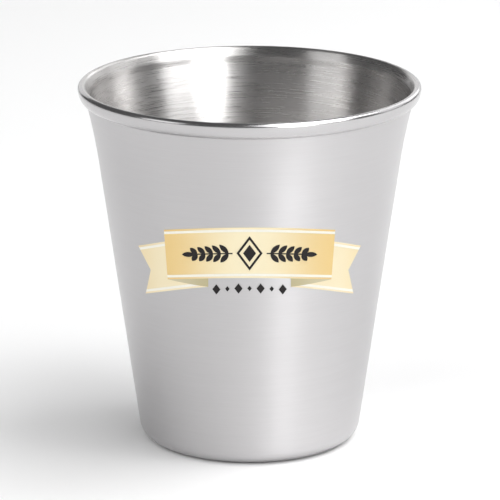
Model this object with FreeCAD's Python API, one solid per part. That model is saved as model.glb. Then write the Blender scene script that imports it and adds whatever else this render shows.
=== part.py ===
import FreeCAD, Part
import math
import os

# A two-ounce shot cup, drawn from one stainless steel sheet with its rim rolled outwards,
# and a banner printed in gold, white and black on the straight part of its wall.
# Millimetres, +Z up, origin at the centre of the face that the cup stands on.
# The banner is on the -Y side.

# Cup
HEIGHT = 50.8
RIM_RADIUS = 23.8
SHEET = 0.5
BASE_RADIUS = 13.3
BASE_CORNER_BEND = 1.8
PANEL_RADIUS = 10.2
PANEL_RISE = 0.4
PANEL_BEND = 0.6
PANEL_STEP_ANGLE = math.radians(25.0)
WALL_LEAN = math.radians(8.1)
FLARE_START = 40.0
FLARE_END = 48.5
FLARE_BEND = 80.0

# Rolled rim: inside radii of the bends of the sheet, in the order that it is rolled, and how
# far its straight parts lean from upright
NECK_BEND = 1.0
NECK_LEAN = math.radians(6.0)
LIP_BEND = 0.8
LIP_LEAN = math.radians(25.0)
ROLL_TIGHT_BEND = 0.05
ROLL_LEAN = math.radians(10.0)
ROLL_FACE = 0.5
ROLL_LOOSE_BEND = 1.15
ROLL_GAP = 0.06

# Ink layers, each measured square to the wall
GOLD_INK = 0.05
LINE_INK = 0.03
ROW_INK = 0.05
PRINT_LOW = 22.0
PRINT_HIGH = 38.0

# Banner, drawn as it is seen square-on from the front: every long edge is an arc about a
# point on the centre line, named here by the height of its crown
FRONT_ARCH = 49.0
FRONT_TOP = 35.7
FRONT_BOTTOM = 28.35
FRONT_TOP_HALF = 11.6
FRONT_BOTTOM_HALF = 11.15
TAIL_ARCH = 33.0
TAIL_TOP = 34.65
TAIL_BOTTOM = 27.25
TAIL_TOP_HALF = 15.2
TAIL_BOTTOM_HALF = 14.25
TAIL_HIDDEN_HALF = 10.5
TAIL_NOTCH = (13.5, 27.85)
FOLD_HALF = 5.6
EDGE_MARGIN = 0.27
EDGE_LINE = 0.36

# Ornament on the banner, and the row of lozenges under it
ORNAMENT_CROWN = 31.95
MEDAL_HALF = (1.75, 2.5)
MEDAL_BAND = 0.3
MEDAL_HEART = 0.5
STEM_START = 2.3
STEM_END = 7.6
STEM_WIDTH = 0.17
LEAF_PAIRS = 5
LEAF_LENGTH = 1.75
LEAF_BULGE = 0.36
LEAF_ANGLE = math.radians(48.0)
LEAF_SHRINK = 0.07
ROW_CROWN = 26.8
ROW_COUNT = 7
ROW_PITCH = 1.5
ROW_LARGE = (0.55, 0.75)
ROW_SMALL = (0.3, 0.4)

FULL_TURN = 360.0
QUARTER_TURN = math.pi / 2.0
AXIS_Z = FreeCAD.Vector(0, 0, 1)
ORIGIN = FreeCAD.Vector(0, 0, 0)


def flat(x, z):
    """A point of the X-Z plane."""
    return FreeCAD.Vector(x, 0, z)


def cross(a, b):
    """Cross product of two vectors of the X-Z plane."""
    return a.x * b.z - a.z * b.x


class SheetSection:
    """The section of a bent sheet in the X-Z plane, followed along its outside face."""

    def __init__(self, height):
        self.at = flat(0, height)
        self.inside_at = flat(0, height + SHEET)
        self.heading = 0.0
        self.edges = [Part.makeLine(self.at, self.inside_at)]

    def normal(self, heading):
        """The way out of the outside face, for a sheet that runs along the heading."""
        return flat(math.sin(heading), -math.cos(heading))

    def along(self, heading):
        return flat(math.cos(heading), math.sin(heading))

    def straight(self, length):
        step = self.along(self.heading) * length
        self.edges.append(Part.makeLine(self.at, self.at + step))
        self.edges.append(Part.makeLine(self.inside_at, self.inside_at + step))
        self.at = self.at + step
        self.inside_at = self.inside_at + step

    def arc(self, centre, radius, end_heading):
        """One face's arc, from the present heading to the end heading. Returns its last point."""
        headings = (self.heading, (self.heading + end_heading) / 2.0, end_heading)
        points = [centre - self.normal(heading) * radius for heading in headings]
        self.edges.append(Part.Arc(*points).toShape())
        return points[-1]

    def bend(self, inside_radius, turn):
        """Turn left (towards the inside of the cup) where turn is positive, else right."""
        radius = -(inside_radius + SHEET) if turn > 0 else inside_radius
        centre = self.at + self.normal(self.heading) * radius
        end_heading = self.heading + turn
        self.at = self.arc(centre, radius, end_heading)
        self.inside_at = self.arc(centre, radius + SHEET, end_heading)
        self.heading = end_heading

    def joggle_to(self, end, inside_radius, end_heading):
        """Straight, a right bend, and straight again to the end point. Returns the bend's start."""
        first, last = self.along(self.heading), self.along(end_heading)
        bend = (self.normal(self.heading) - self.normal(end_heading)) * inside_radius
        way = end - self.at - bend
        span = cross(first, last)
        self.straight(cross(way, last) / span)
        bend_start = self.at
        self.bend(inside_radius, end_heading - self.heading)
        self.straight(cross(first, way) / span)
        return bend_start

    def bend_to_upright_end(self, inside_radius, end_x):
        """Turn right until both faces reach an upright cut through the sheet."""
        centre = self.at + self.normal(self.heading) * inside_radius
        ends = []
        for radius in (inside_radius, inside_radius + SHEET):
            end_heading = math.asin((end_x - centre.x) / radius) - math.pi
            ends.append(self.arc(centre, radius, end_heading))
        self.at, self.inside_at = ends

    def face(self):
        end = Part.makeLine(self.at, self.inside_at)
        return Part.Face(Part.Wire(Part.__sortEdges__(self.edges + [end])))


def cup_shell():
    """The cup: base panel, standing ring, wall, flare and rolled rim, all one sheet."""
    section = SheetSection(PANEL_RISE)
    section.straight(PANEL_RADIUS)
    bend_drop = 2.0 * (PANEL_BEND + SHEET / 2.0) * (1.0 - math.cos(PANEL_STEP_ANGLE))
    step = (PANEL_RISE - bend_drop) / math.sin(PANEL_STEP_ANGLE)
    section.bend(PANEL_BEND, -PANEL_STEP_ANGLE)
    section.straight(step)
    section.bend(PANEL_BEND, PANEL_STEP_ANGLE)
    section.straight(BASE_RADIUS - section.at.x)
    section.bend(BASE_CORNER_BEND, QUARTER_TURN - WALL_LEAN)
    section.straight((FLARE_START - section.at.z) / math.cos(WALL_LEAN))
    flared = math.acos(math.sin(WALL_LEAN) + (FLARE_END - FLARE_START) / FLARE_BEND)
    section.bend(FLARE_BEND, flared - section.heading)
    section.bend(NECK_BEND, QUARTER_TURN - NECK_LEAN - flared)
    skin = ROLL_TIGHT_BEND + SHEET
    crest = flat(RIM_RADIUS - skin, HEIGHT - skin)
    lip_heading = QUARTER_TURN - LIP_LEAN
    lip_end = crest - section.normal(lip_heading) * ROLL_TIGHT_BEND
    neck = section.joggle_to(lip_end, LIP_BEND, lip_heading)
    section.bend(ROLL_TIGHT_BEND, -QUARTER_TURN - ROLL_LEAN - lip_heading)
    section.straight(ROLL_FACE)
    section.bend_to_upright_end(ROLL_LOOSE_BEND, neck.x + ROLL_GAP)
    return section.face().revolve(ORIGIN, AXIS_Z, FULL_TURN)


def wall_radius(height):
    """Radius of the outside of the wall, on its straight part."""
    corner = BASE_CORNER_BEND + SHEET
    rise = height - corner * (1.0 - math.sin(WALL_LEAN))
    return BASE_RADIUS + corner * math.cos(WALL_LEAN) + rise * math.tan(WALL_LEAN)


def wall_cone(clearance):
    """The solid inside the wall's outer surface, moved out by the clearance."""
    out = clearance / math.cos(WALL_LEAN)
    place = FreeCAD.Vector(0, 0, PRINT_LOW)
    low = wall_radius(PRINT_LOW) + out
    high = wall_radius(PRINT_HIGH) + out
    return Part.makeCone(low, high, PRINT_HIGH - PRINT_LOW, place, AXIS_Z)


def print_on_wall(face, lift, thickness):
    """The flat outline, laid on the front of the wall as a layer of ink."""
    layer = wall_cone(lift + thickness).cut(wall_cone(lift))
    stamps = [area.extrude(FreeCAD.Vector(0, -RIM_RADIUS, 0)) for area in face.Faces]
    stamp = stamps[0].multiFuse(stamps[1:]).removeSplitter() if stamps[1:] else stamps[0]
    return layer.common(stamp)


def arch_height(x, crown, arch):
    """Height at x of an arc whose highest point is on the centre line."""
    return crown - arch + math.sqrt(arch * arch - x * x)


def arch_edge(start_x, end_x, crown, arch):
    xs = (start_x, (start_x + end_x) / 2.0, end_x)
    return Part.Arc(*[flat(x, arch_height(x, crown, arch)) for x in xs]).toShape()


def polygon_edges(points):
    return [Part.makeLine(a, b) for a, b in zip(points, points[1:])]


def outline(edges):
    return Part.Face(Part.Wire(Part.__sortEdges__(edges)))


def mirrored(face):
    return face.mirror(ORIGIN, FreeCAD.Vector(1, 0, 0))


def arch_band(start_x, end_x, low_crown, high_crown, arch):
    """A strip between two arches of the same radius."""
    edges = [arch_edge(start_x, end_x, crown, arch) for crown in (low_crown, high_crown)]
    for x in (start_x, end_x):
        edges += polygon_edges([flat(x, arch_height(x, crown, arch)) for crown in (low_crown, high_crown)])
    return outline(edges)


def front_corner(half, crown):
    return flat(half, arch_height(half, crown, FRONT_ARCH))


def ribbon_front_outline():
    right = [front_corner(FRONT_TOP_HALF, FRONT_TOP), front_corner(FRONT_BOTTOM_HALF, FRONT_BOTTOM)]
    left = [flat(-point.x, point.z) for point in right]
    top = arch_edge(-FRONT_TOP_HALF, FRONT_TOP_HALF, FRONT_TOP, FRONT_ARCH)
    bottom = arch_edge(-FRONT_BOTTOM_HALF, FRONT_BOTTOM_HALF, FRONT_BOTTOM, FRONT_ARCH)
    return outline([top, bottom] + polygon_edges(right) + polygon_edges(left))


def fold_tip():
    return flat(FOLD_HALF, arch_height(FOLD_HALF, TAIL_BOTTOM, TAIL_ARCH))


def ribbon_tail_outline(front):
    """The right tail: out from behind the front panel, with a notched end."""
    hidden = flat(TAIL_HIDDEN_HALF, arch_height(TAIL_HIDDEN_HALF, TAIL_TOP, TAIL_ARCH))
    corner = front_corner(FRONT_BOTTOM_HALF, FRONT_BOTTOM)
    upper_end = flat(TAIL_TOP_HALF, arch_height(TAIL_TOP_HALF, TAIL_TOP, TAIL_ARCH))
    lower_end = flat(TAIL_BOTTOM_HALF, arch_height(TAIL_BOTTOM_HALF, TAIL_BOTTOM, TAIL_ARCH))
    top = arch_edge(TAIL_HIDDEN_HALF, TAIL_TOP_HALF, TAIL_TOP, TAIL_ARCH)
    bottom = arch_edge(FOLD_HALF, TAIL_BOTTOM_HALF, TAIL_BOTTOM, TAIL_ARCH)
    end = polygon_edges([upper_end, flat(*TAIL_NOTCH), lower_end])
    inner = polygon_edges([hidden, corner, fold_tip()])
    return outline([top, bottom] + end + inner).cut(front)


def ribbon_fold_outline():
    """The right fold, between the front panel's bottom edge and the tail."""
    corner = front_corner(FRONT_BOTTOM_HALF, FRONT_BOTTOM)
    inner = front_corner(FOLD_HALF, FRONT_BOTTOM)
    edge = arch_edge(FOLD_HALF, FRONT_BOTTOM_HALF, FRONT_BOTTOM, FRONT_ARCH)
    return outline([edge] + polygon_edges([inner, fold_tip(), corner]))


def edge_lines(face, top, bottom, arch):
    """The two thin lines just inside the long edges of a piece of the banner."""
    upper = arch_band(-RIM_RADIUS, RIM_RADIUS, top - EDGE_MARGIN - EDGE_LINE, top - EDGE_MARGIN, arch)
    lower = arch_band(-RIM_RADIUS, RIM_RADIUS, bottom + EDGE_MARGIN, bottom + EDGE_MARGIN + EDGE_LINE, arch)
    return face.common(Part.Compound([upper, lower]))


def lozenge(x, z, half):
    across, up = half
    points = [flat(x + across, z), flat(x, z + up), flat(x - across, z), flat(x, z - up)]
    return outline(polygon_edges(points + points[:1]))


def medallion_outline():
    ring = lozenge(0, ORNAMENT_CROWN, MEDAL_HALF)
    shrink = 1.0 - MEDAL_BAND / MEDAL_HALF[0] * math.hypot(*MEDAL_HALF) / MEDAL_HALF[1]
    hole = lozenge(0, ORNAMENT_CROWN, [half * shrink for half in MEDAL_HALF])
    heart = lozenge(0, ORNAMENT_CROWN, [half * MEDAL_HEART for half in MEDAL_HALF])
    return Part.Compound([ring.cut(hole), heart])


def leaf(x, angle, length):
    """A pointed leaf that grows from the stem at x, at an angle above the X axis."""
    root = flat(x, arch_height(x, ORNAMENT_CROWN, FRONT_ARCH))
    along = flat(math.cos(angle), math.sin(angle)) * length
    across = flat(-math.sin(angle), math.cos(angle)) * LEAF_BULGE
    middle = root + along * 0.5
    upper = Part.Arc(root, middle + across, root + along).toShape()
    lower = Part.Arc(root, middle - across, root + along).toShape()
    return outline([upper, lower])


def sprig_outline():
    """The right sprig: a stem along the arch, with pairs of leaves and one at its end."""
    crowns = (ORNAMENT_CROWN - STEM_WIDTH / 2.0, ORNAMENT_CROWN + STEM_WIDTH / 2.0)
    stem = arch_band(STEM_START, STEM_END, *crowns, FRONT_ARCH)
    pitch = (STEM_END - STEM_START) / LEAF_PAIRS
    leaves = [leaf(STEM_END - STEM_WIDTH, -math.asin(STEM_END / FRONT_ARCH), LEAF_LENGTH)]
    for pair in range(LEAF_PAIRS):
        x = STEM_START + pitch * (pair + 0.5)
        slope = -math.asin(x / FRONT_ARCH)
        length = LEAF_LENGTH * (1.0 - LEAF_SHRINK * pair)
        leaves += [leaf(x, slope + side * LEAF_ANGLE, length) for side in (1, -1)]
    return Part.Compound([stem] + leaves)


def ornament_row_outline():
    lozenges = []
    for index in range(ROW_COUNT):
        x = (index - (ROW_COUNT - 1) / 2.0) * ROW_PITCH
        half = ROW_SMALL if index % 2 else ROW_LARGE
        lozenges.append(lozenge(x, arch_height(x, ROW_CROWN, TAIL_ARCH), half))
    return Part.Compound(lozenges)


def printed_layers():
    """Every area of ink: the gold lies on the steel, its lines and ornament lie on the gold."""
    front = ribbon_front_outline()
    tail = ribbon_tail_outline(front)
    fold = ribbon_fold_outline()
    sprig = sprig_outline()
    front_lines = edge_lines(front, FRONT_TOP, FRONT_BOTTOM, FRONT_ARCH)
    tail_lines = edge_lines(tail, TAIL_TOP, TAIL_BOTTOM, TAIL_ARCH)
    on_steel = {
        "ribbon_front": front,
        "ribbon_tail_right": tail,
        "ribbon_tail_left": mirrored(tail),
        "ribbon_fold_right": fold,
        "ribbon_fold_left": mirrored(fold),
    }
    on_gold = {
        "ribbon_front_lines": front_lines,
        "ribbon_tail_lines_right": tail_lines,
        "ribbon_tail_lines_left": mirrored(tail_lines),
        "ornament_medallion": medallion_outline(),
        "ornament_sprig_right": sprig,
        "ornament_sprig_left": mirrored(sprig),
    }
    layers = {name: print_on_wall(face, 0.0, GOLD_INK) for name, face in on_steel.items()}
    layers["ornament_row"] = print_on_wall(ornament_row_outline(), 0.0, ROW_INK)
    for name, face in on_gold.items():
        layers[name] = print_on_wall(face, GOLD_INK, LINE_INK)
    return layers


def main():
    os.makedirs("parts", exist_ok=True)
    nodes = {"cup_shell": cup_shell()}
    nodes.update(printed_layers())
    for name, shape in nodes.items():
        shape.exportStep("parts/" + name + ".step")
        box = shape.BoundBox
        print(
            f"{name}: {len(shape.Solids)} solids, valid {shape.isValid()}, {shape.Volume:.3f} mm3,"
            f" {box.XLength:.2f} x {box.YLength:.2f} x {box.ZLength:.2f} mm, bottom {box.ZMin:.3f}"
        )


main()
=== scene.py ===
import math

import bpy
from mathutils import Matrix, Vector


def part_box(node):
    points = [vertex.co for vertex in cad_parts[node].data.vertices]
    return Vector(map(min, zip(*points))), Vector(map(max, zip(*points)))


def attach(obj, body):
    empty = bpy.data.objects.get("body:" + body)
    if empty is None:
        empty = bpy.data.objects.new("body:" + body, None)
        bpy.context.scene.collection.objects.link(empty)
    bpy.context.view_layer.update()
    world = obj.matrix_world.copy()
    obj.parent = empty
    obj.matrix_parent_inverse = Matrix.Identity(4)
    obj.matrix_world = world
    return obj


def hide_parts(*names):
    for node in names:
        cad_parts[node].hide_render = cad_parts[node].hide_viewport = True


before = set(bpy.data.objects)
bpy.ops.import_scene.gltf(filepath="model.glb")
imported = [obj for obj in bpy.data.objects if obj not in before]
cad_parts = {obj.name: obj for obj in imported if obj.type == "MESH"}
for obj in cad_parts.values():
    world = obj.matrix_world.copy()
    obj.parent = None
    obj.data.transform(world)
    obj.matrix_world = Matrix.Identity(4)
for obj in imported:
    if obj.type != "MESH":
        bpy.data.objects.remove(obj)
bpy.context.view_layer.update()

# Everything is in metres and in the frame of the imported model.

# The cup's size comes from the frame; the rest of its section repeats the design's values.
CUP_LOW, CUP_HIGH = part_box("cup_shell")
HEIGHT = CUP_HIGH.z
RIM_RADIUS = CUP_HIGH.x
SHEET = 0.0005
BASE_RADIUS = 0.0133
BASE_CORNER_BEND = 0.0018
PANEL_RADIUS = 0.0102
PANEL_RISE = 0.0004
PANEL_BEND = 0.0006
PANEL_STEP_ANGLE = math.radians(25.0)
WALL_LEAN = math.radians(8.1)
FLARE_START = 0.040
FLARE_END = 0.0485
FLARE_BEND = 0.080
NECK_BEND = 0.0010
NECK_LEAN = math.radians(6.0)
LIP_BEND = 0.0008
LIP_LEAN = math.radians(25.0)
ROLL_TIGHT_BEND = 0.00005
ROLL_LEAN = math.radians(10.0)
ROLL_FACE = 0.0005
ROLL_LOOSE_BEND = 0.00115
ROLL_GAP = 0.00006
QUARTER_TURN = math.pi / 2.0

# How finely the cup is meshed
SEGMENTS = 320
STRAIGHT_STEP = 0.0012
BEND_STEP = math.radians(7.5)
LONG_BEND_PARTS = 8

# The outside of the rolled rim is more polished than the wall, from this height up
RIM_LOW = 0.0485
RIM_FADE = 0.0006

# The steel's lines: how much finer they are across than along, and how fine they are along
FINE_STRETCH = 39.0
FINE_SCALE = 200.0
COARSE_STRETCH = 25.0
COARSE_SCALE = 60.0
COARSE_SHARE = 0.3
CLOUD_SCALE = 90.0
CLOUD_GLOSS = 0.06
LINE_CONTRAST = (0.35, 0.65)

# The ink's grain and skin
GRAIN_SCALE = 4000.0
SKIN_SCALE = 700.0
INK_ROUGHNESS = (0.36, 0.48)
INK_MOTTLE = 0.08
INK_RELIEF = 0.000006

FLOOR_HALF = 3.0
WORLD_LIGHT = 0.12

# Camera
CAMERA_ELEVATION = math.radians(16.0)
CAMERA_DISTANCE = 0.5046
CAMERA_TARGET = Vector((0.00006, 0.0, 0.02672))
CAMERA_LENS = 258.9
CAMERA_SENSOR = 36.0


def direction(azimuth, elevation):
    """The way from the cup to a light or camera. Azimuth 0 is the front, 90 is the right."""
    a, e = math.radians(azimuth), math.radians(elevation)
    return Vector((math.sin(a) * math.cos(e), -math.cos(a) * math.cos(e), math.sin(e)))


# ---------------------------------------------------------------- the cup's mesh


def cross(a, b):
    return a.x * b.y - a.y * b.x


class SheetSection:
    """The section of a bent sheet in the X-Z plane, followed along its outside face."""

    def __init__(self, height):
        self.at = Vector((0.0, height))
        self.inside_at = Vector((0.0, height + SHEET))
        self.heading = 0.0
        self.outside = [self.at]
        self.inside = [self.inside_at]

    def normal(self, heading):
        """The way out of the outside face, for a sheet that runs along the heading."""
        return Vector((math.sin(heading), -math.cos(heading)))

    def along(self, heading):
        return Vector((math.cos(heading), math.sin(heading)))

    def mark(self, at, inside_at):
        self.at = at
        self.inside_at = inside_at
        self.outside.append(at)
        self.inside.append(inside_at)

    def straight(self, length):
        parts = max(1, round(length / STRAIGHT_STEP))
        step = self.along(self.heading) * (length / parts)
        for _ in range(parts):
            self.mark(self.at + step, self.inside_at + step)

    def arc(self, centre, radius, end_heading, part):
        heading = self.heading + (end_heading - self.heading) * part
        return centre - self.normal(heading) * radius

    def bend(self, inside_radius, turn, parts=None):
        """Turn left (towards the inside of the cup) where turn is positive, else right."""
        parts = parts or max(3, math.ceil(abs(turn) / BEND_STEP))
        radius = -(inside_radius + SHEET) if turn > 0 else inside_radius
        centre = self.at + self.normal(self.heading) * radius
        end_heading = self.heading + turn
        for index in range(parts):
            part = (index + 1) / parts
            at = self.arc(centre, radius, end_heading, part)
            self.mark(at, self.arc(centre, radius + SHEET, end_heading, part))
        self.heading = end_heading

    def joggle_to(self, end, inside_radius, end_heading):
        """Straight, a right bend, and straight again to the end point. Returns the bend's start."""
        first, last = self.along(self.heading), self.along(end_heading)
        bend = (self.normal(self.heading) - self.normal(end_heading)) * inside_radius
        way = end - self.at - bend
        span = cross(first, last)
        self.straight(cross(way, last) / span)
        bend_start = self.at
        self.bend(inside_radius, end_heading - self.heading)
        self.straight(cross(first, way) / span)
        return bend_start

    def bend_to_upright_end(self, inside_radius, end_x):
        """Turn right until both faces reach an upright cut through the sheet."""
        centre = self.at + self.normal(self.heading) * inside_radius
        radii = (inside_radius, inside_radius + SHEET)
        ends = [math.asin((end_x - centre.x) / radius) - math.pi for radius in radii]
        parts = math.ceil((self.heading - ends[1]) / BEND_STEP)
        for index in range(parts):
            part = (index + 1) / parts
            self.mark(*[self.arc(centre, r, end, part) for r, end in zip(radii, ends)])


def cup_section():
    """Closed section of the cup from the axis under the base, round the rim, to the axis inside."""
    section = SheetSection(PANEL_RISE)
    section.straight(PANEL_RADIUS)
    bend_drop = 2.0 * (PANEL_BEND + SHEET / 2.0) * (1.0 - math.cos(PANEL_STEP_ANGLE))
    section.bend(PANEL_BEND, -PANEL_STEP_ANGLE)
    section.straight((PANEL_RISE - bend_drop) / math.sin(PANEL_STEP_ANGLE))
    section.bend(PANEL_BEND, PANEL_STEP_ANGLE)
    section.straight(BASE_RADIUS - section.at.x)
    section.bend(BASE_CORNER_BEND, QUARTER_TURN - WALL_LEAN)
    section.straight((FLARE_START - section.at.y) / math.cos(WALL_LEAN))
    flared = math.acos(math.sin(WALL_LEAN) + (FLARE_END - FLARE_START) / FLARE_BEND)
    section.bend(FLARE_BEND, flared - section.heading, LONG_BEND_PARTS)
    section.bend(NECK_BEND, QUARTER_TURN - NECK_LEAN - flared)
    skin = ROLL_TIGHT_BEND + SHEET
    crest = Vector((RIM_RADIUS - skin, HEIGHT - skin))
    lip_heading = QUARTER_TURN - LIP_LEAN
    lip_end = crest - section.normal(lip_heading) * ROLL_TIGHT_BEND
    neck = section.joggle_to(lip_end, LIP_BEND, lip_heading)
    section.bend(ROLL_TIGHT_BEND, -QUARTER_TURN - ROLL_LEAN - lip_heading)
    section.straight(ROLL_FACE)
    section.bend_to_upright_end(ROLL_LOOSE_BEND, neck.x + ROLL_GAP)
    return section.outside + section.inside[::-1]


def lathe(name, points):
    """Turns a section that starts and ends on the axis. Its UV map runs round and along the section.

    The faces up to the section's highest point get the first material, and the rest the second.
    """
    lengths = [0.0]
    for a, b in zip(points, points[1:]):
        lengths.append(lengths[-1] + (b - a).length)
    verts = []
    rings = []
    for point in points:
        if point.x < SHEET / 10.0:
            rings.append([len(verts)] * SEGMENTS)
            verts.append((0.0, 0.0, point.y))
            continue
        rings.append(list(range(len(verts), len(verts) + SEGMENTS)))
        for index in range(SEGMENTS):
            angle = 2.0 * math.pi * index / SEGMENTS + QUARTER_TURN
            verts.append((point.x * math.cos(angle), point.x * math.sin(angle), point.y))
    faces = []
    uvs = []
    for row, (low, high) in enumerate(zip(rings, rings[1:])):
        v0, v1 = (lengths[row + part] / lengths[-1] for part in (0, 1))
        for index in range(SEGMENTS):
            after = (index + 1) % SEGMENTS
            u0, u1 = index / SEGMENTS, (index + 1) / SEGMENTS
            corners = [
                (low[index], (u0, v0)),
                (low[after], (u1, v0)),
                (high[after], (u1, v1)),
                (high[index], (u0, v1)),
            ]
            kept = []
            for corner in corners:
                if corner[0] not in [k[0] for k in kept]:
                    kept.append(corner)
            faces.append([corner[0] for corner in kept])
            uvs += [corner[1] for corner in kept]
    mesh = bpy.data.meshes.new(name)
    mesh.from_pydata(verts, [], faces)
    layer = mesh.uv_layers.new(name="OFBake")
    for loop, uv in zip(layer.data, uvs):
        loop.uv = uv
    mesh.polygons.foreach_set("use_smooth", [True] * len(faces))
    crest = max(range(len(points)), key=lambda row: points[row].y)
    first_inside = crest * SEGMENTS
    slots = [int(index >= first_inside) for index in range(len(faces))]
    mesh.polygons.foreach_set("material_index", slots)
    piece = bpy.data.objects.new(name, mesh)
    bpy.context.scene.collection.objects.link(piece)
    return piece


# ---------------------------------------------------------------- materials


class Shader:
    """A material's node tree, built by name."""

    def __init__(self, name):
        self.material = bpy.data.materials.new(name)
        self.material.use_nodes = True
        self.nodes = self.material.node_tree.nodes
        self.links = self.material.node_tree.links
        self.nodes.clear()
        self.surface = self.node("ShaderNodeBsdfPrincipled")
        out = self.node("ShaderNodeOutputMaterial")
        self.links.new(self.surface.outputs["BSDF"], out.inputs["Surface"])

    def node(self, kind, **settings):
        made = self.nodes.new(kind)
        for name, value in settings.items():
            setattr(made, name, value)
        return made

    def feed(self, socket, value):
        if isinstance(value, bpy.types.NodeSocket):
            self.links.new(value, socket)
        elif value is not None:
            socket.default_value = value

    def set(self, **values):
        for name, value in values.items():
            self.feed(self.surface.inputs[name.replace("_", " ")], value)

    def math(self, operation, a, b=None, clamp=False):
        made = self.node("ShaderNodeMath", operation=operation, use_clamp=clamp)
        self.feed(made.inputs[0], a)
        self.feed(made.inputs[1], b)
        return made.outputs[0]

    def ramp(self, value, low, high, out_low=0.0, out_high=1.0):
        made = self.node("ShaderNodeMapRange", interpolation_type="SMOOTHSTEP")
        for index, item in enumerate((value, low, high, out_low, out_high)):
            self.feed(made.inputs[index], item)
        return made.outputs[0]

    def position(self):
        made = self.node("ShaderNodeTexCoord")
        split = self.node("ShaderNodeSeparateXYZ")
        self.links.new(made.outputs["Object"], split.inputs[0])
        return split.outputs[0], split.outputs[1], split.outputs[2]

    def vector(self, x, y, z):
        made = self.node("ShaderNodeCombineXYZ")
        for socket, value in zip(made.inputs, (x, y, z)):
            self.feed(socket, value)
        return made.outputs[0]

    def noise(self, vector, scale, detail=2.0, roughness=0.5):
        made = self.node("ShaderNodeTexNoise")
        self.links.new(vector, made.inputs["Vector"])
        made.inputs["Scale"].default_value = scale
        made.inputs["Detail"].default_value = detail
        made.inputs["Roughness"].default_value = roughness
        return made.outputs["Fac"]

    def blend(self, factor, low, high):
        made = self.node("ShaderNodeMix", data_type="RGBA")
        self.feed(made.inputs["Factor"], factor)
        self.feed(made.inputs["A"], low if isinstance(low, bpy.types.NodeSocket) else (*low, 1.0))
        self.feed(made.inputs["B"], high if isinstance(high, bpy.types.NodeSocket) else (*high, 1.0))
        return made.outputs["Result"]

    def bump(self, height, distance, strength=1.0):
        made = self.node("ShaderNodeBump")
        self.feed(made.inputs["Height"], height)
        made.inputs["Distance"].default_value = distance
        made.inputs["Strength"].default_value = strength
        return made.outputs["Normal"]


def steel(name, low, high, roughness, spread, anisotropy, relief, polish):
    """Stainless steel with fine lines round the cup. Spread is how much they change its gloss."""
    s = Shader(name)
    x, y, z = s.position()
    radius = s.math("SQRT", s.math("ADD", s.math("MULTIPLY", x, x), s.math("MULTIPLY", y, y)))
    along = s.math("ADD", z, radius)
    fine = s.noise(s.vector(x, y, s.math("MULTIPLY", along, FINE_STRETCH)), FINE_SCALE, 3.0, 0.65)
    coarse = s.noise(s.vector(x, y, s.math("MULTIPLY", along, COARSE_STRETCH)), COARSE_SCALE, 2.0)
    cloud = s.noise(s.vector(x, y, z), CLOUD_SCALE, 3.0)
    fine_part = s.math("MULTIPLY", fine, 1.0 - COARSE_SHARE)
    lines = s.math("ADD", fine_part, s.math("MULTIPLY", coarse, COARSE_SHARE))
    brushed = s.ramp(lines, *LINE_CONTRAST, roughness - spread, roughness + spread)
    satin = s.math("ADD", brushed, s.math("MULTIPLY", s.math("SUBTRACT", cloud, 0.5), CLOUD_GLOSS))
    rim = s.ramp(z, RIM_LOW, RIM_LOW + RIM_FADE)
    dull = s.math("SUBTRACT", 1.0, s.math("MULTIPLY", rim, polish))
    tangent = s.node("ShaderNodeTangent", direction_type="RADIAL", axis="Z")
    s.set(
        Base_Color=s.blend(s.ramp(lines, *LINE_CONTRAST), low, high),
        Metallic=1.0,
        Roughness=s.math("MULTIPLY", satin, dull),
        Anisotropic=anisotropy,
        Anisotropic_Rotation=0.25,
        Tangent=tangent.outputs[0],
        Normal=s.bump(s.math("MULTIPLY", lines, dull), relief),
    )
    return s.material


def satin_steel():
    """The outside: an even satin finish, and a rolled rim that is more polished."""
    low, high = (0.541, 0.532, 0.538), (0.559, 0.550, 0.556)
    return steel(
        "steel_satin", low, high, roughness=0.34, spread=0.014, anisotropy=0.65, relief=0.0000012, polish=0.35
    )


def brushed_steel():
    """The inside, from the rim's crest down: longer, livelier lines."""
    low, high = (0.55, 0.538, 0.532), (0.64, 0.628, 0.622)
    return steel(
        "steel_brushed", low, high, roughness=0.30, spread=0.05, anisotropy=0.95, relief=0.000013, polish=0.0
    )


def ink(name, low, high, across=None, shine=0.4):
    """Screen-printed ink: a faint grain in its colour and gloss, and a slightly uneven skin.

    Where across is given, the colour goes from low to high between those distances from the middle.
    """
    s = Shader(name)
    x, y, z = s.position()
    place = s.vector(x, y, z)
    grain = s.noise(place, GRAIN_SCALE, 3.0)
    skin = s.noise(place, SKIN_SCALE, 2.0)
    factor = grain if across is None else s.ramp(s.math("ABSOLUTE", x), *across)
    mottle = s.math("MULTIPLY", s.math("SUBTRACT", grain, 0.5), INK_MOTTLE)
    s.set(
        Base_Color=s.blend(s.math("ADD", factor, mottle, clamp=True), low, high),
        Roughness=s.ramp(skin, 0.3, 0.7, *INK_ROUGHNESS),
        Specular_IOR_Level=shine,
        Normal=s.bump(s.math("ADD", grain, skin), INK_RELIEF, 0.4),
    )
    return s.material


# ---------------------------------------------------------------- the object


def make_cup():
    """The lathed cup stands for the design's own shell."""
    cup = lathe("cup_body", cup_section())
    cup.data.materials.append(satin_steel())
    cup.data.materials.append(brushed_steel())
    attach(cup, "root")
    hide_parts("cup_shell")


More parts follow.
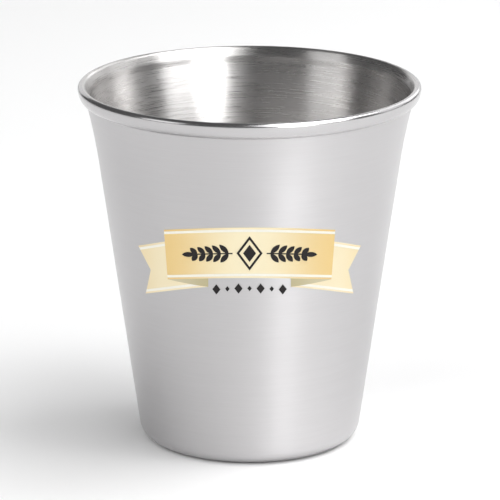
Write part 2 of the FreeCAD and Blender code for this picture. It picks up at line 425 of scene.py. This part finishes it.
def print_banner():
    """The ink areas are the design's own solids; each gets its ink."""
    inks = {
        "ribbon_front": ink("ink_gold", (0.93, 0.83, 0.57), (0.83, 0.60, 0.25), (0.001, 0.0116)),
        "ribbon_tail": ink("ink_pale_gold", (0.90, 0.79, 0.54), (0.86, 0.72, 0.44), (0.0117, 0.0152)),
        "ribbon_fold": ink("ink_shade_gold", (0.52, 0.46, 0.27), (0.64, 0.57, 0.39), (0.0056, 0.0107)),
        "lines": ink("ink_white", (0.94, 0.92, 0.83), (0.90, 0.87, 0.77)),
        "ornament": ink("ink_black", (0.008, 0.006, 0.007), (0.018, 0.014, 0.015), shine=0.25),
    }
    for name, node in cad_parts.items():
        kinds = [kind for kind in inks if kind in name]
        for kind in kinds[-1:]:
            node.data.materials[0] = inks[kind]


# ---------------------------------------------------------------- studio


def make_floor():
    mesh = bpy.data.meshes.new("floor")
    turns = ((-1, -1), (1, -1), (1, 1), (-1, 1))
    mesh.from_pydata([(x * FLOOR_HALF, y * FLOOR_HALF, 0) for x, y in turns], [], [(0, 1, 2, 3)])
    floor = bpy.data.objects.new("floor", mesh)
    bpy.context.scene.collection.objects.link(floor)
    s = Shader("floor_pale")
    x, y, z = s.position()
    soft = s.noise(s.vector(x, y, z), 3.0, 2.0)
    s.set(Base_Color=s.blend(soft, (0.91, 0.91, 0.91), (0.94, 0.94, 0.94)), Roughness=0.9)
    floor.data.materials.append(s.material)


def softbox(name, azimuth, elevation, distance, width, height, radiance):
    """A rectangular lamp that faces the cup and isn't seen by the camera."""
    light = bpy.data.lights.new(name, "AREA")
    light.shape = "RECTANGLE"
    light.size = width
    light.size_y = height
    light.energy = radiance * math.pi * width * height
    lamp = bpy.data.objects.new(name, light)
    bpy.context.scene.collection.objects.link(lamp)
    way = direction(azimuth, elevation)
    lamp.location = CAMERA_TARGET + way * distance
    lamp.rotation_euler = way.to_track_quat("Z", "Y").to_euler()
    lamp.visible_camera = False
    return lamp


def light_studio():
    world = bpy.data.worlds.new("studio")
    bpy.context.scene.world = world
    world.use_nodes = True
    background = world.node_tree.nodes["Background"]
    background.inputs["Color"].default_value = (0.99, 0.99, 1.0, 1.0)
    background.inputs["Strength"].default_value = WORLD_LIGHT
    softbox("fill_left", -62, 26, 0.7, 0.34, 0.36, 1.45)
    softbox("side_right", 110, 28, 0.7, 0.34, 0.5, 1.0)
    softbox("back_right", 146, 28, 0.9, 0.5, 0.5, 1.6)
    softbox("top", 90, 62, 0.95, 0.75, 0.75, 3.3)
    softbox("backdrop", 180, 13, 2.0, 2.4, 0.9, 0.8)
    # Two lamps are mirrored in the steel only, and two soft ones light all but the steel
    softbox("key_right", 43.5, 39, 0.7, 0.67, 0.7, 2.9).visible_diffuse = False
    softbox("highlight", 31, 12, 0.7, 0.25, 0.3, 8.3).visible_diffuse = False
    softbox("soft_right", 45, 42, 0.9, 0.9, 0.9, 1.4).visible_glossy = False
    softbox("soft_left", -45, 42, 0.9, 0.9, 0.9, 1.35).visible_glossy = False


def make_camera():
    data = bpy.data.cameras.new("camera")
    data.lens = CAMERA_LENS
    data.sensor_width = CAMERA_SENSOR
    data.clip_start = 0.01
    data.clip_end = 10.0
    camera = bpy.data.objects.new("camera", data)
    bpy.context.scene.collection.objects.link(camera)
    way = direction(0.0, math.degrees(CAMERA_ELEVATION))
    camera.location = CAMERA_TARGET + way * CAMERA_DISTANCE
    camera.rotation_euler = way.to_track_quat("Z", "Y").to_euler()
    bpy.context.scene.camera = camera


make_camera()
make_cup()
print_banner()
make_floor()
light_studio()
bpy.context.scene.view_settings.view_transform = "Standard"
